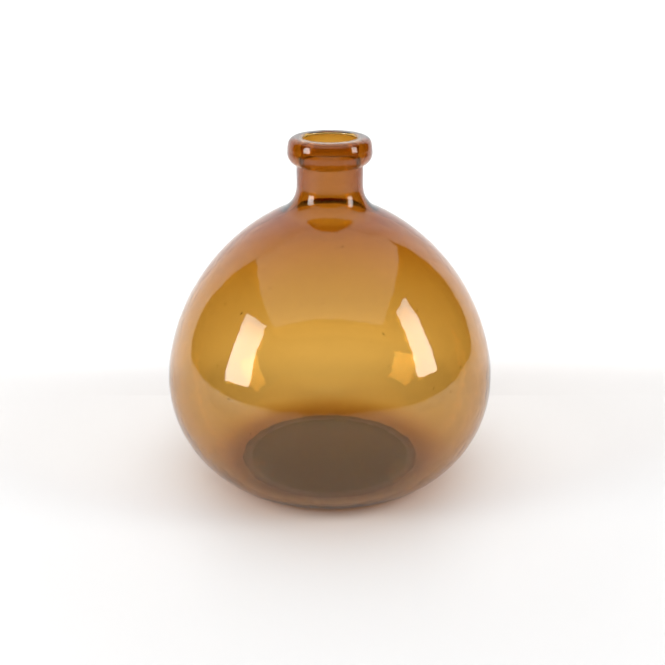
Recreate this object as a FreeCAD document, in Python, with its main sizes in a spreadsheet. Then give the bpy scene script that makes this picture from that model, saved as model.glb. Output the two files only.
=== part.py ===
import FreeCAD, Part
import Sketcher
import math
import os

# Hand-blown bottle vase of amber glass: a squat bulb, a short neck and a thick lip ring.
# Origin: centre of the foot on the surface that the vase stands on. +Z runs up its axis.

# Driving sizes in millimetres. Each has one cell in the sheet and one meaning.
SIZES = {
    # outside of the bulb, from the foot up
    "foot_overhang": 40.8,    # how far the bulb stands out past the flat it stands on
    "ring_width": 7.2,        # flat bearing ring, from that edge inwards
    "pushup_height": 2.6,     # how far the middle of the foot is pushed up
    "heel_radius": 27.4,      # turn from the flat into the side
    "bulb_radius": 95.0,      # widest half width
    "bulb_height": 56.7,      # height of the widest ring
    "upper_radius": 84.2,     # side above the widest ring
    "upper_rise": 19.1,       # height of that side before the shoulder takes over
    # neck tube
    "neck_radius": 18.6,      # outside of the tube
    "shoulder_height": 114.3,  # from the widest ring up to where the tube turns straight
    "neck_turn_radius": 15.2,  # hollow turn from shoulder to tube
    "neck_length": 21.5,      # straight tube, up to its cut end
    # glass
    "wall": 1.8,              # wall of the bulb
    "neck_wall": 3.6,         # wall of the tube: the glass thickens from bulb to neck
    "bore_turn_radius": 22.0,  # hollow turn from shoulder to bore
    "bore_rise": 1.5,         # where that turn ends, above the outside's turn
    "floor_height": 3.4,      # underside of the cavity, where the floor meets its heel
    "floor_rise": 2.0,        # crown of the cavity floor over the push-up
    "cavity_heel_radius": 25.5,
    # lip ring, measured from the tube's cut end
    "lip_overhang": 4.9,      # how far the collar stands out from the tube
    "lip_cap": 5.5,           # glass over the cut end, up to the crest
    "lip_skirt": 9.5,         # how far the collar reaches down the tube
    "lip_under_radius": 6.9,  # rounded underside
    "lip_side_drop": 0.9,     # where its upright side ends and starts to lean in
    "lip_side_radius": 12.0,  # the leaning side
    "lip_outer_radius": 3.9,  # outer turn of the crest
    "lip_inner_radius": 1.2,  # inner turn of the crest
}

RIGHT = 0.0
TOP = math.pi / 2
LEFT = math.pi
BOTTOM = -math.pi / 2
FULL_TURN = 360

START_INDEX = 1               # the points of a sketch's edge, by number
END_INDEX = 2
CENTRE_INDEX = 3
ORIGIN_INDEX = -1             # the sketch's own origin and its upright axis
AXIS_INDEX = -2


def size_sheet(doc):
    """Put every driving size in a sheet cell, under its own alias."""
    sheet = doc.addObject("Spreadsheet::Sheet", "sizes")
    for row, (name, value) in enumerate(SIZES.items(), start=1):
        cell = "B" + str(row)
        sheet.set("A" + str(row), name)
        sheet.set(cell, str(value))
        sheet.setAlias(cell, name)
    doc.recompute()
    return sheet


def origin_plane(body, role):
    for feature in body.Origin.OriginFeatures:
        if feature.Role == role:
            return feature
    raise ValueError(body.Label + " has no " + role)


class Section:
    """A half section of a turned piece: sketch x is the radius and sketch y the height."""

    def __init__(self, body, name):
        self.sketch = body.newObject("Sketcher::SketchObject", name)
        self.sketch.AttachmentSupport = [(origin_plane(body, "XZ_Plane"), "")]
        self.sketch.MapMode = "FlatFace"

    def line(self, radius_a, height_a, radius_b, height_b):
        start = FreeCAD.Vector(radius_a, height_a, 0)
        end = FreeCAD.Vector(radius_b, height_b, 0)
        return self.sketch.addGeometry(Part.LineSegment(start, end), False)

    def arc(self, centre, radius, start_angle, end_angle):
        """An arc, always drawn anticlockwise from start_angle to end_angle."""
        middle = FreeCAD.Vector(centre[0], centre[1], 0)
        circle = Part.Circle(middle, FreeCAD.Vector(0, 0, 1), radius)
        return self.sketch.addGeometry(Part.ArcOfCircle(circle, start_angle, end_angle), False)

    def join(self, first, first_end, second, second_end):
        self.rule("Coincident", first, first_end, second, second_end)

    def smooth(self, first, first_end, second, second_end):
        self.rule("Tangent", first, first_end, second, second_end)

    def concentric(self, first, second):
        self.rule("Coincident", first, CENTRE_INDEX, second, CENTRE_INDEX)

    def level(self, edge):
        self.rule("Horizontal", edge)

    def upright(self, edge):
        self.rule("Vertical", edge)

    def on_axis(self, edge, point):
        self.rule("PointOnObject", edge, point, AXIS_INDEX)

    def level_points(self, first, first_point, second, second_point):
        self.rule("Horizontal", first, first_point, second, second_point)

    def rule(self, *parts):
        return self.sketch.addConstraint(Sketcher.Constraint(*parts))

    def bind(self, kind, parts, value, name, formula):
        """Add a dimension with its present value and tie it to the sheet."""
        index = self.rule(kind, *parts, value)
        self.sketch.renameConstraint(index, name)
        self.sketch.setExpression("Constraints." + name, formula)

    def radius(self, edge, value, name, formula):
        self.bind("Radius", (edge,), value, name, formula)

    def across(self, edge, point, value, name, formula):
        self.bind("DistanceX", (ORIGIN_INDEX, START_INDEX, edge, point), value, name, formula)

    def height(self, edge, point, value, name, formula):
        self.bind("DistanceY", (ORIGIN_INDEX, START_INDEX, edge, point), value, name, formula)


def turn(body, section, name):
    """Turn the half section once round the piece's axis."""
    feature = body.newObject("PartDesign::Revolution", name)
    feature.Profile = section.sketch
    feature.ReferenceAxis = (section.sketch, ["V_Axis"])
    feature.Angle = FULL_TURN
    body.Tip = feature
    return feature


def arc_between(corner, angle, hollow_centre, hollow_radius):
    """The arc that leaves a corner at the given angle and rolls into a hollow turn."""
    normal = (math.cos(angle), math.sin(angle))
    run = (hollow_centre[0] - corner[0], hollow_centre[1] - corner[1])
    along = run[0] * normal[0] + run[1] * normal[1]
    radius = (run[0] ** 2 + run[1] ** 2 - hollow_radius ** 2) / (2 * (hollow_radius - along))
    centre = (corner[0] - radius * normal[0], corner[1] - radius * normal[1])
    end_angle = math.atan2(hollow_centre[1] - centre[1], hollow_centre[0] - centre[0])
    return centre, radius, end_angle


def wall_outline(size):
    """Centres, radii and meeting angles of the wall's arcs, outside and inside."""
    widest = size["bulb_radius"]
    middle = size["bulb_height"]
    spread = size["foot_overhang"]
    foot = widest - spread
    heel = size["heel_radius"]
    wall = size["wall"]
    out = {}

    # outside: the lower side is the arc that meets the heel and stands upright at the widest ring
    lower = (spread ** 2 + (middle - heel) ** 2 - heel ** 2) / (2 * (spread - heel))
    out["lower_radius"] = lower
    out["lower_centre"] = (widest - lower, middle)
    out["heel_centre"] = (foot, heel)
    out["heel_angle"] = math.atan2(heel - middle, foot - (widest - lower))

    # outside: upper side, then the shoulder that runs from it into the hollow turn of the neck
    upper = size["upper_radius"]
    upper_angle = math.asin(size["upper_rise"] / upper)
    out["upper_centre"] = (widest - upper, middle)
    out["upper_angle"] = upper_angle
    hollow = size["neck_turn_radius"]
    hollow_centre = (size["neck_radius"] + hollow, middle + size["shoulder_height"])
    corner = (widest - upper + upper * math.cos(upper_angle),
              middle + upper * math.sin(upper_angle))
    out["hollow_centre"] = hollow_centre
    out["shoulder_centre"], out["shoulder_radius"], out["shoulder_angle"] = arc_between(
        corner, upper_angle, hollow_centre, hollow)

    # inside: the shoulder runs from one wall in at the bulb to the thicker wall of the neck
    bore_turn = size["bore_turn_radius"]
    bore = size["neck_radius"] - size["neck_wall"]
    bore_turn_centre = (bore + bore_turn, middle + size["shoulder_height"] + size["bore_rise"])
    corner_in = (corner[0] - wall * math.cos(upper_angle), corner[1] - wall * math.sin(upper_angle))
    out["bore_turn_centre"] = bore_turn_centre
    out["inner_top"] = corner_in[1]
    out["inner_centre"], out["inner_radius"], out["inner_angle"] = arc_between(
        corner_in, upper_angle, bore_turn_centre, bore_turn)

    # inside: the bulb keeps the outside's centres, down to the cavity's own heel and floor
    turn_in = size["cavity_heel_radius"]
    turn_height = size["floor_height"] + turn_in
    reach = lower - wall - turn_in
    turn_across = widest - lower + math.sqrt(reach ** 2 - (middle - turn_height) ** 2)
    out["turn_centre"] = (turn_across, turn_height)
    out["turn_angle"] = math.atan2(turn_height - middle, turn_across - (widest - lower))
    rise = size["floor_rise"]
    floor = (turn_across ** 2 + (turn_in - rise) ** 2 - turn_in ** 2) / (2 * rise)
    out["floor_radius"] = floor
    out["floor_centre"] = (0, size["floor_height"] + rise - floor)
    out["floor_angle"] = math.atan2(turn_height - out["floor_centre"][1], turn_across)

    # underside: a shallow dome inside the bearing ring
    ring = foot - size["ring_width"]
    pushup = size["pushup_height"]
    dome = (ring ** 2 + pushup ** 2) / (2 * pushup)
    out["dome_radius"] = dome
    out["dome_centre"] = (0, pushup - dome)
    out["dome_angle"] = math.acos(ring / dome)
    return out


def blown_body(doc, size):
    """The blown bubble: one wall from the pushed-up foot to the tube's cut end."""
    body = doc.addObject("PartDesign::Body", "blown_body")
    body.Label = "blown_body"
    form = wall_outline(size)
    wall = size["wall"]
    foot = size["bulb_radius"] - size["foot_overhang"]
    ring = foot - size["ring_width"]
    neck = size["neck_radius"]
    bore = neck - size["neck_wall"]
    neck_base = size["bulb_height"] + size["shoulder_height"]
    bore_base = neck_base + size["bore_rise"]
    rim = neck_base + size["neck_length"]
    crown = size["floor_height"] + size["floor_rise"]
    section = Section(body, "wall_section")

    # underside and outside, from the axis round to the tube's cut end
    dome = section.arc(form["dome_centre"], form["dome_radius"], form["dome_angle"], TOP)
    bearing = section.line(ring, 0, foot, 0)
    heel = section.arc(form["heel_centre"], size["heel_radius"], BOTTOM, form["heel_angle"])
    lower = section.arc(form["lower_centre"], form["lower_radius"], form["heel_angle"], RIGHT)
    upper = section.arc(form["upper_centre"], size["upper_radius"], RIGHT, form["upper_angle"])
    shoulder = section.arc(form["shoulder_centre"], form["shoulder_radius"],
                           form["upper_angle"], form["shoulder_angle"])
    hollow = section.arc(form["hollow_centre"], size["neck_turn_radius"],
                         LEFT, LEFT + form["shoulder_angle"])
    tube = section.line(neck, neck_base, neck, rim)
    cut_end = section.line(neck, rim, bore, rim)

    # inside, back down to the axis
    bore_side = section.line(bore, rim, bore, bore_base)
    hollow_in = section.arc(form["bore_turn_centre"], size["bore_turn_radius"],
                            LEFT, LEFT + form["inner_angle"])
    shoulder_in = section.arc(form["inner_centre"], form["inner_radius"],
                              form["upper_angle"], form["inner_angle"])
    upper_in = section.arc(form["upper_centre"], size["upper_radius"] - wall,
                           RIGHT, form["upper_angle"])
    lower_in = section.arc(form["lower_centre"], form["lower_radius"] - wall,
                           form["turn_angle"], RIGHT)
    turn_in = section.arc(form["turn_centre"], size["cavity_heel_radius"],
                          LEFT + form["floor_angle"], 2 * LEFT + form["turn_angle"])
    floor = section.arc(form["floor_centre"], form["floor_radius"], form["floor_angle"], TOP)
    middle = section.line(0, crown, 0, size["pushup_height"])

    # how the edges meet
    section.on_axis(dome, END_INDEX)
    section.on_axis(dome, CENTRE_INDEX)
    section.join(dome, START_INDEX, bearing, START_INDEX)
    section.level(bearing)
    section.smooth(bearing, END_INDEX, heel, START_INDEX)
    section.smooth(heel, END_INDEX, lower, START_INDEX)
    section.smooth(lower, END_INDEX, upper, START_INDEX)
    section.level_points(lower, CENTRE_INDEX, lower, END_INDEX)
    section.smooth(upper, END_INDEX, shoulder, START_INDEX)
    section.smooth(shoulder, END_INDEX, hollow, END_INDEX)
    section.smooth(hollow, START_INDEX, tube, START_INDEX)
    section.upright(tube)
    section.join(tube, END_INDEX, cut_end, START_INDEX)
    section.level(cut_end)
    section.join(cut_end, END_INDEX, bore_side, START_INDEX)
    section.upright(bore_side)
    section.smooth(bore_side, END_INDEX, hollow_in, START_INDEX)
    section.smooth(hollow_in, END_INDEX, shoulder_in, END_INDEX)
    section.smooth(shoulder_in, START_INDEX, upper_in, END_INDEX)
    section.concentric(upper, upper_in)
    section.smooth(upper_in, START_INDEX, lower_in, END_INDEX)
    section.concentric(lower, lower_in)
    section.smooth(lower_in, START_INDEX, turn_in, END_INDEX)
    section.smooth(turn_in, START_INDEX, floor, START_INDEX)
    section.on_axis(floor, CENTRE_INDEX)
    section.on_axis(floor, END_INDEX)
    section.join(floor, END_INDEX, middle, START_INDEX)
    section.join(middle, END_INDEX, dome, END_INDEX)

    # sizes
    section.height(dome, END_INDEX, size["pushup_height"], "pushup_height", "sizes.pushup_height")
    section.height(bearing, START_INDEX, 0, "bearing_height", "0")
    section.across(bearing, START_INDEX, ring, "ring_radius",
                   "sizes.bulb_radius - sizes.foot_overhang - sizes.ring_width")
    section.across(bearing, END_INDEX, foot, "foot_radius",
                   "sizes.bulb_radius - sizes.foot_overhang")
    section.radius(heel, size["heel_radius"], "heel_radius", "sizes.heel_radius")
    section.across(lower, END_INDEX, size["bulb_radius"], "bulb_radius", "sizes.bulb_radius")
    section.height(lower, END_INDEX, size["bulb_height"], "bulb_height", "sizes.bulb_height")
    section.radius(upper, size["upper_radius"], "upper_radius", "sizes.upper_radius")
    section.height(upper, END_INDEX, size["bulb_height"] + size["upper_rise"], "upper_top",
                   "sizes.bulb_height + sizes.upper_rise")
    section.radius(hollow, size["neck_turn_radius"], "neck_turn_radius", "sizes.neck_turn_radius")
    section.across(tube, START_INDEX, neck, "neck_radius", "sizes.neck_radius")
    section.height(tube, START_INDEX, neck_base, "neck_base",
                   "sizes.bulb_height + sizes.shoulder_height")
    section.height(tube, END_INDEX, rim, "rim_height",
                   "sizes.bulb_height + sizes.shoulder_height + sizes.neck_length")
    section.across(bore_side, START_INDEX, bore, "bore_radius",
                   "sizes.neck_radius - sizes.neck_wall")
    section.height(bore_side, END_INDEX, bore_base, "bore_base",
                   "sizes.bulb_height + sizes.shoulder_height + sizes.bore_rise")
    section.radius(hollow_in, size["bore_turn_radius"], "bore_turn_radius",
                   "sizes.bore_turn_radius")
    section.across(upper_in, START_INDEX, size["bulb_radius"] - wall, "inner_bulb_radius",
                   "sizes.bulb_radius - sizes.wall")
    section.height(upper_in, END_INDEX, form["inner_top"], "inner_top",
                   "sizes.bulb_height + sizes.upper_rise"
                   " * (sizes.upper_radius - sizes.wall) / sizes.upper_radius")
    section.radius(turn_in, size["cavity_heel_radius"], "cavity_heel_radius",
                   "sizes.cavity_heel_radius")
    section.height(turn_in, CENTRE_INDEX, form["turn_centre"][1], "cavity_heel_height",
                   "sizes.floor_height + sizes.cavity_heel_radius")
    section.height(floor, END_INDEX, crown, "floor_crown", "sizes.floor_height + sizes.floor_rise")

    turn(body, section, "glass_wall")
    return body, section


def lip_ring(doc, size):
    """The collar: a rebate seats it on the tube's cut end and round the tube's outside."""
    body = doc.addObject("PartDesign::Body", "lip_ring")
    body.Label = "lip_ring"
    neck = size["neck_radius"]
    bore = neck - size["neck_wall"]
    outside = neck + size["lip_overhang"]
    crest = size["lip_cap"]
    under = size["lip_under_radius"]
    outer = size["lip_outer_radius"]
    inner = size["lip_inner_radius"]
    lean = size["lip_side_radius"]
    drop = size["lip_side_drop"]

    # the underside arc stands upright at the collar's outside and ends on the tube
    under_across = neck - (outside - under)
    under_height = -size["lip_skirt"] + math.sqrt(under ** 2 - under_across ** 2)
    under_start = math.atan2(-size["lip_skirt"] - under_height, under_across)

    # the leaning side hands over to the crest's outer turn where both face the same way
    lean_angle = math.asin((crest - outer + drop) / (lean - outer))
    outer_centre = (outside - lean + (lean - outer) * math.cos(lean_angle), crest - outer)
    section = Section(body, "lip_section")

    underside = section.arc((outside - under, under_height), under, under_start, RIGHT)
    side = section.line(outside, under_height, outside, -drop)
    leaning = section.arc((outside - lean, -drop), lean, RIGHT, lean_angle)
    outer_turn = section.arc(outer_centre, outer, lean_angle, TOP)
    crest_flat = section.line(outer_centre[0], crest, bore + inner, crest)
    inner_turn = section.arc((bore + inner, crest - inner), inner, TOP, LEFT)
    mouth_side = section.line(bore, crest - inner, bore, 0)
    seat = section.line(bore, 0, neck, 0)
    rebate = section.line(neck, 0, neck, -size["lip_skirt"])

    section.smooth(underside, END_INDEX, side, START_INDEX)
    section.upright(side)
    section.smooth(side, END_INDEX, leaning, START_INDEX)
    section.smooth(leaning, END_INDEX, outer_turn, START_INDEX)
    section.smooth(outer_turn, END_INDEX, crest_flat, START_INDEX)
    section.level(crest_flat)
    section.smooth(crest_flat, END_INDEX, inner_turn, START_INDEX)
    section.smooth(inner_turn, END_INDEX, mouth_side, START_INDEX)
    section.upright(mouth_side)
    section.join(mouth_side, END_INDEX, seat, START_INDEX)
    section.level(seat)
    section.join(seat, END_INDEX, rebate, START_INDEX)
    section.upright(rebate)
    section.join(rebate, END_INDEX, underside, START_INDEX)

    section.radius(underside, under, "lip_under_radius", "sizes.lip_under_radius")
    section.height(leaning, START_INDEX, -drop, "lip_side_top", "-sizes.lip_side_drop")
    section.radius(leaning, lean, "lip_side_radius", "sizes.lip_side_radius")
    section.radius(outer_turn, outer, "lip_outer_radius", "sizes.lip_outer_radius")
    section.radius(inner_turn, inner, "lip_inner_radius", "sizes.lip_inner_radius")
    section.across(side, START_INDEX, outside, "lip_radius",
                   "sizes.neck_radius + sizes.lip_overhang")
    section.height(crest_flat, START_INDEX, crest, "lip_cap", "sizes.lip_cap")
    section.across(seat, START_INDEX, bore, "mouth_radius",
                   "sizes.neck_radius - sizes.neck_wall")
    section.height(seat, START_INDEX, 0, "seat_height", "0")
    section.across(rebate, START_INDEX, neck, "rebate_radius", "sizes.neck_radius")
    section.height(rebate, END_INDEX, -size["lip_skirt"], "skirt_height", "-sizes.lip_skirt")

    turn(body, section, "collar")
    body.setExpression("Placement.Base.z",
                       "sizes.bulb_height + sizes.shoulder_height + sizes.neck_length")
    return body, section


def check_document(doc, sections, bodies):
    """Stop on any failed object, loose sketch or broken solid before a file is written."""
    for item in doc.Objects:
        if "Invalid" in item.State or "Error" in item.State:
            raise RuntimeError(item.Label + " failed: " + str(item.State))
    for section in sections:
        if section.sketch.solve() != 0 or not section.sketch.FullyConstrained:
            raise RuntimeError(section.sketch.Label + " is not fully constrained")
    for body in bodies:
        shape = body.Shape
        if shape.isNull() or not shape.isValid() or len(shape.Solids) != 1:
            raise RuntimeError(body.Label + " is not one valid solid")


def check_fit(bodies):
    """The two pieces touch face to face and share no volume."""
    first, second = bodies[0].Shape, bodies[1].Shape
    shared = first.common(second).Volume
    gap = first.distToShape(second)[0]
    print("shared volume", round(shared, 4), "gap", round(gap, 4))


def main():
    doc = FreeCAD.newDocument("gourd_vase")
    sheet = size_sheet(doc)
    size = {name: float(sheet.get(name)) for name in SIZES}
    made = [blown_body(doc, size), lip_ring(doc, size)]
    doc.recompute()
    bodies = [body for body, section in made]
    check_document(doc, [section for body, section in made], bodies)
    check_fit(bodies)
    os.makedirs("parts", exist_ok=True)
    for body in bodies:
        body.Shape.exportStep("parts/" + body.Label + ".step")
        box = body.Shape.BoundBox
        print(body.Label, "volume", round(body.Shape.Volume, 1), "across", round(box.XLength, 3),
              "from", round(box.ZMin, 3), "to", round(box.ZMax, 3))


main()
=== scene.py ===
import math
import random

import bmesh
import bpy
from mathutils import Matrix, Vector


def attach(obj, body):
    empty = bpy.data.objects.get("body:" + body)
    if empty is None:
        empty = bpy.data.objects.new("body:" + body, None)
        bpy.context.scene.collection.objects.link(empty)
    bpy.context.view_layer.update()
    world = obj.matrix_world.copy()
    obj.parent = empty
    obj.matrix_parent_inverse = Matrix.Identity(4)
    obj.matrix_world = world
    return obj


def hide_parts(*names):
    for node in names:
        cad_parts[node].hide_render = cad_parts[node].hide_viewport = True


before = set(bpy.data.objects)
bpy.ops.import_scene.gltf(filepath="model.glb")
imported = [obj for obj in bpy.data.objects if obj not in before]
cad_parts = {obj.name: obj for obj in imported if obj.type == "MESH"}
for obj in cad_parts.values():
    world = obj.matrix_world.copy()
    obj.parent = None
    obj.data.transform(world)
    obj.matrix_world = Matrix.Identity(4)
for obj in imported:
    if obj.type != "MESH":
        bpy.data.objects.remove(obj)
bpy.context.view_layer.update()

# A hand-blown bottle vase of clear amber glass, standing on a white table.

millimetre = 0.001    # the scene is in metres
print("frame loaded:", sorted(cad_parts))


# camera, found by fitting the vase's outline in the picture
pictureCamera = {
    "distance": 590.1 * millimetre,   # in front of the vase's axis
    "height": 315.6 * millimetre,     # above the table
    "pitchDown": 21.55,               # degrees
    "focalPixels": 1080.0,
    "picturePixels": 665.0,
    "axisPixel": 329.85,              # column of the picture on which the vase's axis stands
    "sensorWidth": 36.0,              # millimetres
    "nearestSeen": 10 * millimetre,
}


def addCamera(values):
    data = bpy.data.cameras.new("pictureCamera")
    data.sensor_width = values["sensorWidth"]
    data.lens = values["focalPixels"] / values["picturePixels"] * values["sensorWidth"]
    data.shift_x = 0.5 - values["axisPixel"] / values["picturePixels"]
    data.clip_start = values["nearestSeen"]
    eye = bpy.data.objects.new("pictureCamera", data)
    eye.location = (0, -values["distance"], values["height"])
    eye.rotation_euler = (math.radians(90 - values["pitchDown"]), 0, 0)
    bpy.context.scene.collection.objects.link(eye)
    bpy.context.scene.camera = eye


addCamera(pictureCamera)
print("camera set")


# the vase, in millimetres: radii from its axis, heights from the table
vase = {
    "footRadius": 54.2, "ringWidth": 7.2, "pushUp": 2.6,
    "heelRadius": 27.4, "bulbRadius": 95.0, "bulbHeight": 56.7,
    "upperRadius": 84.2, "upperRise": 19.1,
    "neckRadius": 18.6, "neckBase": 171.0, "neckTurn": 15.2,
    "bulbWall": 1.8, "neckWall": 3.6, "boreBase": 172.5, "boreTurn": 22.0,
    "floorHeight": 3.4, "floorRise": 2.0, "cavityHeel": 25.5,
    "lipRadius": 23.5, "skirtHeight": 183.0, "crestHeight": 198.0,
    "lipUnder": 6.9, "lipSide": 12.0, "sideTop": 191.6,
    "lipOuter": 3.9, "lipInner": 1.2, "underRound": 0.7,
    "foldInner": 1.1, "foldOuter": 3.4,   # glass beside the air that the lip's fold shuts in
    "foldFoot": 183.6, "foldShoulder": 191.0, "foldTurn": 0.8, "foldTop": 196.9,
    "stepLength": 1.7,        # along the section
    "arcSteps": 6, "neckSteps": 10,       # least steps in a turn
    "hollowSteps": 5, "underSteps": 14, "sideSteps": 12, "innerSteps": 8, "foldSteps": 10,
    "turnSteps": 200,         # round the axis
    "mergeGap": 0.01,         # points closer than this are one
    # tiny bubbles: their number, the draw, their heights, half widths and length by width
    "seedCount": 60, "seedChoice": 5, "seedHeights": (5, 118),
    "seedSizes": (0.20, 0.42), "seedStretch": 2.2, "seedSubdivisions": 2,
}


class SectionPen:
    # draws the half section: x is the radius, z the height, and the pen moves by extrusion
    def __init__(self, mesh, start, stepLength):
        self.mesh = mesh
        self.stepLength = stepLength
        self.tip = mesh.verts.new((start[0], 0, start[1]))

    def line(self, radius, height):
        # a straight side, cut into steps
        target = Vector((radius, 0, height))
        steps = max(1, round((target - self.tip.co).length / self.stepLength))
        stride = (target - self.tip.co) / steps
        for _ in range(steps):
            made = bmesh.ops.extrude_vert_indiv(self.mesh, verts=[self.tip])
            self.tip = made["verts"][0]
            bmesh.ops.translate(self.mesh, verts=[self.tip], vec=stride)

    def arc(self, centre, degrees, leastSteps=vase["arcSteps"]):
        # a turn about a centre, anticlockwise where degrees is positive
        pivot = Vector((centre[0], 0, centre[1]))
        length = math.radians(abs(degrees)) * (self.tip.co - pivot).length
        steps = max(leastSteps, round(length / self.stepLength))
        made = bmesh.ops.spin(self.mesh, geom=[self.tip], cent=pivot, axis=(0, -1, 0),
                              angle=math.radians(degrees), steps=steps)
        self.tip = [v for v in made["geom_last"] if isinstance(v, bmesh.types.BMVert)][0]


def rollingArc(corner, degrees, hollowCentre, hollowRadius):
    # the arc that leaves a corner square to the given direction and rolls into a hollow turn
    normal = Vector((math.cos(math.radians(degrees)), math.sin(math.radians(degrees))))
    run = Vector(hollowCentre) - Vector(corner)
    radius = (run.length_squared - hollowRadius ** 2) / (2 * (hollowRadius - run.dot(normal)))
    centre = Vector(corner) - radius * normal
    across = Vector(hollowCentre) - centre
    return centre, math.degrees(math.atan2(across.y, across.x))


def drawSection(mesh, v):
    # from the middle of the foot's underside, up the outside, over the lip and down the inside
    ring = v["footRadius"] - v["ringWidth"]
    dome = (ring ** 2 + v["pushUp"] ** 2) / (2 * v["pushUp"])
    domeEnd = math.degrees(math.asin(ring / dome))
    spread = v["bulbRadius"] - v["footRadius"]
    rise = v["bulbHeight"] - v["heelRadius"]
    lower = (spread ** 2 + rise ** 2 - v["heelRadius"] ** 2) / (2 * (spread - v["heelRadius"]))
    lowerCentre = (v["bulbRadius"] - lower, v["bulbHeight"])
    heelEnd = math.degrees(math.atan2(rise, v["footRadius"] - lowerCentre[0]))
    upperCentre = Vector((v["bulbRadius"] - v["upperRadius"], v["bulbHeight"]))
    upperEnd = math.degrees(math.asin(v["upperRise"] / v["upperRadius"]))
    outward = Vector((math.cos(math.radians(upperEnd)), math.sin(math.radians(upperEnd))))

    pen = SectionPen(mesh, (0, v["pushUp"]), v["stepLength"])
    pen.arc((0, v["pushUp"] - dome), -domeEnd)
    pen.line(v["footRadius"], 0)
    pen.arc((v["footRadius"], v["heelRadius"]), 90 - heelEnd)
    pen.arc(lowerCentre, heelEnd)
    pen.arc(upperCentre, upperEnd)
    hollow = (v["neckRadius"] + v["neckTurn"], v["neckBase"])
    corner = upperCentre + v["upperRadius"] * outward
    centre, end = rollingArc(corner, upperEnd, hollow, v["neckTurn"])
    pen.arc(centre, end - upperEnd)
    pen.arc(hollow, -end, v["neckSteps"])

    # lip: a small hollow under the collar, its rounded underside, the side and the crest
    across, underHeight = underCentre(v)
    hollowAcross = v["neckRadius"] + v["underRound"] - across
    hollowDrop = math.sqrt((v["lipUnder"] + v["underRound"]) ** 2 - hollowAcross ** 2)
    hollowAngle = math.degrees(math.atan2(hollowDrop, hollowAcross))
    pen.line(v["neckRadius"], underHeight - hollowDrop)
    pen.arc((v["neckRadius"] + v["underRound"], underHeight - hollowDrop), hollowAngle - 180,
            v["hollowSteps"])
    pen.arc((across, underHeight), hollowAngle, v["underSteps"])
    pen.line(v["lipRadius"], v["sideTop"])
    outer = v["lipOuter"]
    lean = math.asin((v["crestHeight"] - outer - v["sideTop"]) / (v["lipSide"] - outer))
    pen.arc((v["lipRadius"] - v["lipSide"], v["sideTop"]), math.degrees(lean), v["sideSteps"])
    outerAcross = v["lipRadius"] - v["lipSide"] + (v["lipSide"] - outer) * math.cos(lean)
    pen.arc((outerAcross, v["crestHeight"] - outer), 90 - math.degrees(lean), v["sideSteps"])
    bore = v["neckRadius"] - v["neckWall"]
    pen.line(bore + v["lipInner"], v["crestHeight"])
    pen.arc((bore + v["lipInner"], v["crestHeight"] - v["lipInner"]), 90, v["innerSteps"])
    pen.line(bore, v["boreBase"])

    # inside, down to the middle of the cavity's floor
    wall = v["bulbWall"]
    hollow = (bore + v["boreTurn"], v["boreBase"])
    corner = upperCentre + (v["upperRadius"] - wall) * outward
    centre, end = rollingArc(corner, upperEnd, hollow, v["boreTurn"])
    pen.arc(hollow, end, v["neckSteps"])
    pen.arc(centre, upperEnd - end)
    pen.arc(upperCentre, -upperEnd)
    turnHeight = v["floorHeight"] + v["cavityHeel"]
    reach = lower - wall - v["cavityHeel"]
    turnAcross = lowerCentre[0] + math.sqrt(reach ** 2 - (v["bulbHeight"] - turnHeight) ** 2)
    turnStart = math.degrees(math.atan2(v["bulbHeight"] - turnHeight, turnAcross - lowerCentre[0]))
    heel, crown = v["cavityHeel"], v["floorRise"]
    floorRadius = (turnAcross ** 2 + (heel - crown) ** 2 - heel ** 2) / (2 * crown)
    floorCentre = (0, v["floorHeight"] + crown - floorRadius)
    floorEnd = math.degrees(math.atan2(turnHeight - floorCentre[1], turnAcross))
    pen.arc(lowerCentre, -turnStart)
    pen.arc((turnAcross, turnHeight), turnStart - floorEnd)
    pen.arc(floorCentre, 90 - floorEnd)
    pen.tip.co.x = 0


def underCentre(v):
    # centre of the collar's rounded underside, which ends on the tube at the skirt's height
    across = v["lipRadius"] - v["lipUnder"]
    rise = math.sqrt(v["lipUnder"] ** 2 - (v["neckRadius"] - across) ** 2)
    return across, v["skirtHeight"] + rise


def drawFold(mesh, v):
    # the air that the fold of the lip shuts in, from its foot up the outside and down by the bore
    inside = v["neckRadius"] - v["neckWall"] + v["foldInner"]
    outside = v["lipRadius"] - v["foldOuter"]
    height = underCentre(v)[1]
    lower = height - v["foldFoot"]
    start = inside - (outside - lower)
    foot = height - math.sqrt(lower ** 2 - start ** 2)
    turn = v["foldTurn"]
    tip = (inside + turn, v["foldTop"] - turn)
    run, rise = outside - tip[0], tip[1] - v["foldShoulder"]
    upper = (run ** 2 + rise ** 2 - turn ** 2) / (2 * (run - turn))
    lean = math.degrees(math.atan2(rise, upper - run))
    pen = SectionPen(mesh, (inside, foot), v["stepLength"] / 2)
    pen.arc((outside - lower, height), math.degrees(math.acos(start / lower)), v["underSteps"])
    pen.line(outside, v["foldShoulder"])
    pen.arc((outside - upper, v["foldShoulder"]), lean, v["sideSteps"])
    pen.arc(tip, 180 - lean, v["foldSteps"])
    pen.line(inside, foot)


def turnFold(mesh, v):
    # the shut-in air faces inwards, so that it counts as outside the glass
    gap = v["mergeGap"]
    inside = v["neckRadius"] - v["neckWall"] + v["foldInner"] - gap
    outside = v["lipRadius"] - v["foldOuter"] + gap
    foot, top = v["foldFoot"] - gap, v["foldTop"] + gap
    inLip = [face for face in mesh.faces
             if all(inside < point.co.xy.length < outside and foot < point.co.z < top
                    for point in face.verts)]
    bmesh.ops.reverse_faces(mesh, faces=inLip)


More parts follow.
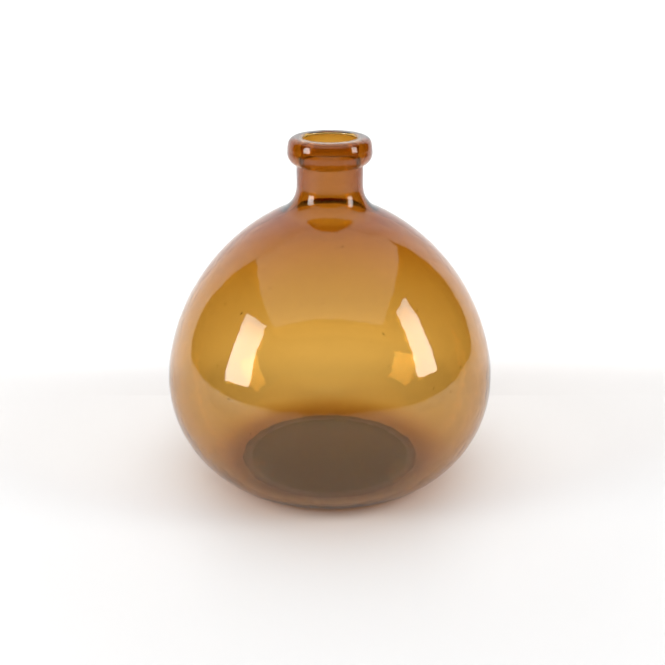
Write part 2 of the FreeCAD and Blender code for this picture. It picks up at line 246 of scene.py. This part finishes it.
def addSeeds(mesh, v):
    # tiny bubbles shut in the bulb's wall, drawn out along it
    chance = random.Random(v["seedChoice"])
    low, high = v["seedHeights"]
    # the spin leaves the faces in another order each run, so they are put in the points' order
    mesh.verts.index_update()
    inOrder = sorted(mesh.faces, key=lambda face: sorted(point.index for point in face.verts))
    outside = []
    for face in inOrder:
        middle = face.calc_center_median()
        if low < middle.z < high and face.normal.xy.dot(middle.xy) > 0:
            outside.append((middle, face.normal.copy()))
    for _ in range(v["seedCount"]):
        middle, outward = chance.choice(outside)
        size = chance.uniform(*v["seedSizes"])
        place = (Matrix.Translation(middle - outward * v["bulbWall"] / 2)
                 @ outward.to_track_quat("Z", "Y").to_matrix().to_4x4()
                 @ Matrix.Rotation(chance.uniform(0, math.pi), 4, "Z")
                 @ Matrix.Diagonal((size * v["seedStretch"], size, size, 1)))
        made = bmesh.ops.create_icosphere(mesh, subdivisions=v["seedSubdivisions"], radius=1,
                                          matrix=place)
        bubble = {face for point in made["verts"] for face in point.link_faces}
        bmesh.ops.reverse_faces(mesh, faces=list(bubble))


def makeVase(v):
    # one closed mesh: wall and lip are fused glass, with no face between them
    mesh = bmesh.new()
    drawSection(mesh, v)
    drawFold(mesh, v)
    bmesh.ops.spin(mesh, geom=mesh.verts[:] + mesh.edges[:], cent=(0, 0, 0), axis=(0, 0, 1),
                   angle=math.tau, steps=v["turnSteps"], use_merge=True)
    bmesh.ops.remove_doubles(mesh, verts=mesh.verts, dist=v["mergeGap"])
    bmesh.ops.recalc_face_normals(mesh, faces=mesh.faces)
    turnFold(mesh, v)
    addSeeds(mesh, v)
    bmesh.ops.scale(mesh, vec=[millimetre] * 3, verts=mesh.verts)
    data = bpy.data.meshes.new("glassVase")
    mesh.to_mesh(data)
    mesh.free()
    data.shade_smooth()
    piece = bpy.data.objects.new("glassVase", data)
    bpy.context.scene.collection.objects.link(piece)
    return piece


glassVase = makeVase(vase)
print("vase made:", len(glassVase.data.vertices), "points")


# amber glass
amberGlass = {
    "refraction": 1.5,
    "absorbColor": (0.80, 0.587, 0.0),
    "absorbDensity": 750.0,           # per metre
    "faceOnMirror": 0.04,             # share that each face throws back, seen square on
    "edgePower": 5.0,                 # how late that share grows towards the edge
    "swells": ((0.00030, 0.040), (0.00007, 0.007)),    # depth and length of faint waves
}


def addNode(tree, kind, **inputs):
    # an input's name has _ in the place of each space
    node = tree.nodes.new(kind)
    for name, value in inputs.items():
        node.inputs[name.replace("_", " ")].default_value = value
    return node


def mathNode(tree, operation, first, second=None):
    node = tree.nodes.new("ShaderNodeMath")
    node.operation = operation
    for socket, value in zip(node.inputs, (first, second)):
        if isinstance(value, bpy.types.NodeSocket):
            tree.links.new(value, socket)
        elif value is not None:
            socket.default_value = value
    return node.outputs[0]


def makeAmberGlass(values):
    material = bpy.data.materials.new("amberGlass")
    material.use_nodes = True
    tree = material.node_tree
    tree.nodes.clear()
    glass = addNode(tree, "ShaderNodeBsdfPrincipled", Transmission_Weight=1.0, Roughness=0.0,
                    IOR=values["refraction"], Base_Color=(1, 1, 1, 1))
    place = tree.nodes.new("ShaderNodeTexCoord")
    surface = glass.inputs["Normal"]
    for depth, length in values["swells"]:
        swell = addNode(tree, "ShaderNodeTexNoise", Scale=1 / length, Detail=1.0)
        bump = addNode(tree, "ShaderNodeBump", Strength=1.0, Distance=depth)
        tree.links.new(place.outputs["Object"], swell.inputs["Vector"])
        tree.links.new(swell.outputs["Fac"], bump.inputs["Height"])
        tree.links.new(bump.outputs["Normal"], surface)
        surface = bump.inputs["Normal"]

    # light on its way to other things crosses the faces straight, less what they throw back
    facing = addNode(tree, "ShaderNodeLayerWeight").outputs["Facing"]
    grazing = mathNode(tree, "POWER", facing, values["edgePower"])
    mirror = mathNode(tree, "MULTIPLY_ADD", grazing, 1 - values["faceOnMirror"])
    mirror.node.inputs[2].default_value = values["faceOnMirror"]
    passed = mathNode(tree, "SUBTRACT", 1.0, mirror)
    clear = tree.nodes.new("ShaderNodeBsdfTransparent")
    tree.links.new(passed, clear.inputs["Color"])
    path = tree.nodes.new("ShaderNodeLightPath")
    toLamp = mathNode(tree, "MAXIMUM",
                      path.outputs["Is Shadow Ray"], path.outputs["Is Diffuse Ray"])
    mix = tree.nodes.new("ShaderNodeMixShader")
    tree.links.new(toLamp, mix.inputs["Fac"])
    tree.links.new(glass.outputs[0], mix.inputs[1])
    tree.links.new(clear.outputs[0], mix.inputs[2])
    absorb = addNode(tree, "ShaderNodeVolumeAbsorption", Density=values["absorbDensity"],
                     Color=(*values["absorbColor"], 1))
    output = tree.nodes.new("ShaderNodeOutputMaterial")
    tree.links.new(mix.outputs[0], output.inputs["Surface"])
    tree.links.new(absorb.outputs[0], output.inputs["Volume"])
    return material


glassVase.data.materials.append(makeAmberGlass(amberGlass))
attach(glassVase, "root")
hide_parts("blown_body", "lip_ring")
print("glass finished")


# studio: a white table, a white sheet that rises behind it, two softboxes and a panel overhead
studio = {
    "tableSide": 1.16, "tableFront": -2.4, "tableBack": 0.7,
    "curveStart": 0.09, "curveRadius": 0.34, "curveSteps": 32, "sheetTop": 1.7, "sheetLift": 0.0002,
    "sheetLeft": -0.69, "sheetLeftTop": -1.0, "sheetRight": 0.56, "sheetRightTop": 0.42,
    "white": 0.81,
    # the sheet's own light: full at this height, fading between these distances from its middle
    "sheetGlow": 0.20, "glowHeight": 0.007, "glowNear": 0.30, "glowFar": 0.58,
    # a spot low behind the vase
    "spotGlow": 0.25, "spotNear": 0.02, "spotFar": 0.11, "spotLow": 0.008, "spotHigh": 0.03,
    # light that the glass throws on the table, behind the foot and to both sides
    "poolLight": 0.33, "poolShift": 0.045, "poolNear": 0.03, "poolFar": 0.10,
    "sideLight": 0.055, "sideNear": 0.11, "sideFar": 0.20, "sideStart": 0.04, "sideFull": 0.09,
    # shade under the foot, under its ring and in front of it
    "footEdge": 0.0525, "footInside": 0.047, "edgeBlur": 0.0015, "insideBlur": 0.001,
    "footShade": 0.13, "ringShade": 0.34,
    "contactShade": 0.62, "contactShift": -0.018, "contactNear": 0.040, "contactFar": 0.060,
    "roomSeen": 0.93,         # the room's brightness seen directly or through the glass
    "roomLit": 0.60,          # as light on the table
    "roomMirrored": 0.01,     # and in reflections
    # softboxes: azimuth from the front, distance from the axis, height of the middle, then degrees
    "softboxes": {
        "softboxLeft": {"azimuth": -65.8, "away": 1.1, "middle": 0.501,
                        "width": 0.411, "height": 0.701, "roll": 6.3, "yaw": 2.4, "tilt": 4.5,
                        "brightness": 9.6, "topShare": 0.69},
        "softboxRight": {"azimuth": 71.8, "away": 1.1, "middle": 0.619,
                         "width": 0.329, "height": 0.838, "roll": -8.4, "yaw": 7.3, "tilt": -2.0,
                         "brightness": 9.1, "topShare": 0.69},
    },
    # the panel dims towards its front between two places, given as shares of its depth
    "overhead": {"height": 1.3, "left": -1.22, "right": 1.11, "front": -1.04, "back": 0.86,
                 "brightness": 1.1, "frontShare": 0.75, "dimFrom": 0.15, "dimTo": -0.25,
                 "fillPower": 1.4, "fillDrop": 0.001},
}


def makeSoftFade():
    # a node group: its level goes smoothly from First to Last as Position goes from Start to End
    group = bpy.data.node_groups.new("softFade", "ShaderNodeTree")
    group.interface.new_socket("Level", in_out="OUTPUT", socket_type="NodeSocketFloat")
    given = group.nodes.new("NodeGroupInput")
    change = group.nodes.new("ShaderNodeMapRange")
    change.interpolation_type = "SMOOTHSTEP"
    for name, socket in (("Position", "Value"), ("Start", "From Min"), ("End", "From Max"),
                         ("First", "To Min"), ("Last", "To Max")):
        group.interface.new_socket(name, in_out="INPUT", socket_type="NodeSocketFloat")
        group.links.new(given.outputs[name], change.inputs[socket])
    result = group.nodes.new("NodeGroupOutput")
    group.links.new(change.outputs["Result"], result.inputs["Level"])
    return group


softFade = makeSoftFade()


def ramp(tree, position, start, end, first, last):
    node = tree.nodes.new("ShaderNodeGroup")
    node.node_tree = softFade
    for name, level in (("Start", start), ("End", end), ("First", first), ("Last", last)):
        node.inputs[name].default_value = level
    tree.links.new(position, node.inputs["Position"])
    return node.outputs["Level"]


def fade(tree, axis, start, end, first, last, bothSides=False):
    # a ramp along one of the thing's own axes
    place = tree.nodes.new("ShaderNodeTexCoord")
    split = tree.nodes.new("ShaderNodeSeparateXYZ")
    tree.links.new(place.outputs["Object"], split.inputs[0])
    along = split.outputs[axis]
    if bothSides:
        along = mathNode(tree, "ABSOLUTE", along)
    return ramp(tree, along, start, end, first, last)


def sheetGlow(tree, matt, values):
    # the background light: a broad glow, and a spot low behind the vase
    broad = mathNode(tree, "MULTIPLY",
                     fade(tree, "Z", 0, values["glowHeight"], 0, values["sheetGlow"]),
                     fade(tree, "X", values["glowNear"], values["glowFar"], 1, 0, bothSides=True))
    spot = mathNode(tree, "MULTIPLY",
                    fade(tree, "Z", values["spotLow"], values["spotHigh"], values["spotGlow"], 0),
                    fade(tree, "X", values["spotNear"], values["spotFar"], 1, 0, bothSides=True))
    tree.links.new(mathNode(tree, "ADD", broad, spot), matt.inputs["Emission Strength"])


def tableGlow(tree, matt, values):
    # light that the glass throws round its foot, and the shade under the foot
    place = tree.nodes.new("ShaderNodeTexCoord")
    measured = []
    for shift in (0, values["poolShift"], values["contactShift"]):
        away = tree.nodes.new("ShaderNodeVectorMath")
        away.operation = "DISTANCE"
        away.inputs[1].default_value = (0, shift, 0)
        tree.links.new(place.outputs["Object"], away.inputs[0])
        measured.append(away.outputs["Value"])
    fromAxis, fromPool, fromContact = measured
    edge, inside, white = values["footEdge"], values["footInside"], values["white"]
    outside = ramp(tree, fromAxis, edge, edge + values["edgeBlur"], 0, 1)
    pool = ramp(tree, fromPool, values["poolNear"], values["poolFar"], values["poolLight"], 0)
    sides = mathNode(tree, "MULTIPLY",
                     fade(tree, "X", values["sideStart"], values["sideFull"], 0, 1, bothSides=True),
                     ramp(tree, fromAxis, values["sideNear"], values["sideFar"],
                          values["sideLight"], 0))
    glow = mathNode(tree, "ADD", mathNode(tree, "MULTIPLY", pool, outside), sides)
    tree.links.new(glow, matt.inputs["Emission Strength"])
    ring = ramp(tree, fromAxis, inside, inside + values["insideBlur"],
                values["footShade"], values["ringShade"])
    under = mathNode(tree, "ADD", mathNode(tree, "MULTIPLY", ring, white),
                     mathNode(tree, "MULTIPLY", outside, (1 - values["ringShade"]) * white))
    near = ramp(tree, fromContact, values["contactNear"], values["contactFar"],
                values["contactShade"], 1)
    tree.links.new(mathNode(tree, "MULTIPLY", under, near), matt.inputs["Base Color"])


def showFront(tree, shader):
    # the shader on the front of a surface, and nothing on its back, which is looked through
    clear = tree.nodes.new("ShaderNodeBsdfTransparent")
    side = tree.nodes.new("ShaderNodeNewGeometry")
    mix = tree.nodes.new("ShaderNodeMixShader")
    tree.links.new(side.outputs["Backfacing"], mix.inputs["Fac"])
    tree.links.new(shader, mix.inputs[1])
    tree.links.new(clear.outputs[0], mix.inputs[2])
    tree.links.new(mix.outputs[0], tree.nodes["Material Output"].inputs["Surface"])


def makeWhite(name, values, addLight):
    # a matt white with a light of its own
    material = bpy.data.materials.new(name)
    material.use_nodes = True
    tree = material.node_tree
    matt = tree.nodes["Principled BSDF"]
    white = values["white"]
    matt.inputs["Base Color"].default_value = (white, white, white, 1)
    matt.inputs["Roughness"].default_value = 1.0
    matt.inputs["Specular IOR Level"].default_value = 0.0
    matt.inputs["Emission Color"].default_value = (1, 1, 1, 1)
    addLight(tree, matt, values)
    showFront(tree, matt.outputs[0])
    return material


def addStage(name, mesh, material):
    data = bpy.data.meshes.new(name)
    mesh.to_mesh(data)
    mesh.free()
    data.shade_smooth()
    data.materials.append(material)
    thing = bpy.data.objects.new(name, data)
    bpy.context.scene.collection.objects.link(thing)
    return thing


def makeTable(values):
    mesh = bmesh.new()
    bmesh.ops.create_grid(mesh, x_segments=1, y_segments=1, size=1)
    front, back = values["tableFront"], values["tableBack"]
    bmesh.ops.scale(mesh, vec=(values["tableSide"], (back - front) / 2, 1), verts=mesh.verts)
    bmesh.ops.translate(mesh, vec=(0, (front + back) / 2, 0), verts=mesh.verts)
    addStage("whiteTable", mesh, makeWhite("tableWhite", values, tableGlow))


def makeSheet(values):
    # it lies on the table behind the vase, curves up and stands, and both its edges lean
    mesh = bmesh.new()
    tip = mesh.verts.new((values["sheetLeft"], values["curveStart"], values["sheetLift"]))
    pivot = tip.co + Vector((0, 0, values["curveRadius"]))
    made = bmesh.ops.spin(mesh, geom=[tip], cent=pivot, axis=(1, 0, 0), angle=math.radians(90),
                          steps=values["curveSteps"])
    tip = [v for v in made["geom_last"] if isinstance(v, bmesh.types.BMVert)][0]
    made = bmesh.ops.extrude_vert_indiv(mesh, verts=[tip])
    made["verts"][0].co.z = values["sheetTop"]
    made = bmesh.ops.extrude_edge_only(mesh, edges=mesh.edges[:])
    rightSide = {point for point in made["geom"] if isinstance(point, bmesh.types.BMVert)}
    for point in mesh.verts:
        side = "sheetRight" if point in rightSide else "sheetLeft"
        lean = (values[side + "Top"] - values[side]) / values["sheetTop"]
        point.co.x = values[side] + lean * point.co.z
    bmesh.ops.recalc_face_normals(mesh, faces=mesh.faces)
    if sum(face.normal.z for face in mesh.faces) < 0:
        bmesh.ops.reverse_faces(mesh, faces=mesh.faces)
    addStage("whiteSheet", mesh, makeWhite("sheetWhite", values, sheetGlow))


def litCloth(name, start, end, first, last):
    # gives light from its front only; its brightness changes along its own Y
    material = bpy.data.materials.new(name)
    material.use_nodes = True
    tree = material.node_tree
    tree.nodes.remove(tree.nodes["Principled BSDF"])
    shine = tree.nodes.new("ShaderNodeEmission")
    tree.links.new(fade(tree, "Y", start, end, first, last), shine.inputs["Strength"])
    showFront(tree, shine.outputs[0])
    return material


def addCloth(name, width, height, place, material):
    mesh = bmesh.new()
    bmesh.ops.create_grid(mesh, x_segments=1, y_segments=1, size=0.5)
    bmesh.ops.scale(mesh, vec=(width, height, 1), verts=mesh.verts)
    bmesh.ops.reverse_faces(mesh, faces=mesh.faces)
    cloth = addStage(name, mesh, material)
    cloth.matrix_world = place
    cloth.visible_camera = False


def addSoftbox(name, box):
    # an upright lit cloth that looks at the vase, a little dimmer towards its top
    angle = math.radians(box["azimuth"])
    place = Vector((box["away"] * math.sin(angle), -box["away"] * math.cos(angle), box["middle"]))
    turned = (Matrix.Translation(place)
              @ Matrix.Rotation(angle + math.radians(box["yaw"]), 4, "Z")
              @ Matrix.Rotation(math.radians(90 - box["tilt"]), 4, "X")
              @ Matrix.Rotation(math.radians(box["roll"]), 4, "Z"))
    bright = box["brightness"]
    cloth = litCloth(name, 0, box["height"] / 2, bright, bright * box["topShare"])
    addCloth(name, box["width"], box["height"], turned, cloth)


def addOverhead(values):
    # a level cloth over the table, a little dimmer towards its front, and a weak lamp under it
    width, depth = values["right"] - values["left"], values["back"] - values["front"]
    place = Matrix.Translation(((values["left"] + values["right"]) / 2,
                                (values["front"] + values["back"]) / 2, values["height"]))
    bright = values["brightness"]
    cloth = litCloth("overheadCloth", depth * values["dimTo"], depth * values["dimFrom"],
                     bright * values["frontShare"], bright)
    addCloth("overheadCloth", width, depth, place, cloth)
    fill = bpy.data.lights.new("overheadFill", "AREA")
    fill.shape = "RECTANGLE"
    fill.size, fill.size_y = width, depth
    fill.energy = values["fillPower"]
    lamp = bpy.data.objects.new("overheadFill", fill)
    lamp.matrix_world = Matrix.Translation((0, 0, -values["fillDrop"])) @ place
    bpy.context.scene.collection.objects.link(lamp)


def makeRoom(values):
    # pale where it is seen directly or through the glass, dark in what the glass reflects
    world = bpy.data.worlds.new("studioRoom")
    world.use_nodes = True
    tree = world.node_tree
    path = tree.nodes.new("ShaderNodeLightPath")
    straight = mathNode(tree, "LESS_THAN", path.outputs["Glossy Depth"], 0.5)
    undiffused = mathNode(tree, "LESS_THAN", path.outputs["Diffuse Depth"], 0.5)
    looked = mathNode(tree, "MAXIMUM",
                      path.outputs["Is Camera Ray"], path.outputs["Is Transmission Ray"])
    seen = mathNode(tree, "MULTIPLY", mathNode(tree, "MULTIPLY", straight, undiffused), looked)
    diffused = mathNode(tree, "SUBTRACT", 1.0, undiffused)
    level = mathNode(tree, "MULTIPLY_ADD", seen, values["roomSeen"] - values["roomMirrored"])
    level.node.inputs[2].default_value = values["roomMirrored"]
    lit = mathNode(tree, "MULTIPLY_ADD", diffused, values["roomLit"] - values["roomMirrored"])
    tree.links.new(level, lit.node.inputs[2])
    tree.links.new(lit, tree.nodes["Background"].inputs["Color"])
    bpy.context.scene.world = world


def lightStudio(values):
    makeTable(values)
    makeSheet(values)
    for name, box in values["softboxes"].items():
        addSoftbox(name, box)
    addOverhead(values["overhead"])
    makeRoom(values)


lightStudio(studio)

# how often light may turn, so that it gets across the glass
bounces = {"any": 24, "throughGlass": 20, "mirrored": 12, "straight": 24}


def setLook(values):
    scene = bpy.context.scene
    scene.view_settings.view_transform = "Standard"
    scene.cycles.max_bounces = values["any"]
    scene.cycles.transmission_bounces = values["throughGlass"]
    scene.cycles.glossy_bounces = values["mirrored"]
    scene.cycles.transparent_max_bounces = values["straight"]
    scene.cycles.caustics_reflective = False
    scene.cycles.caustics_refractive = False
    scene.cycles.sample_clamp_indirect = 0


setLook(bounces)
print("studio lit")
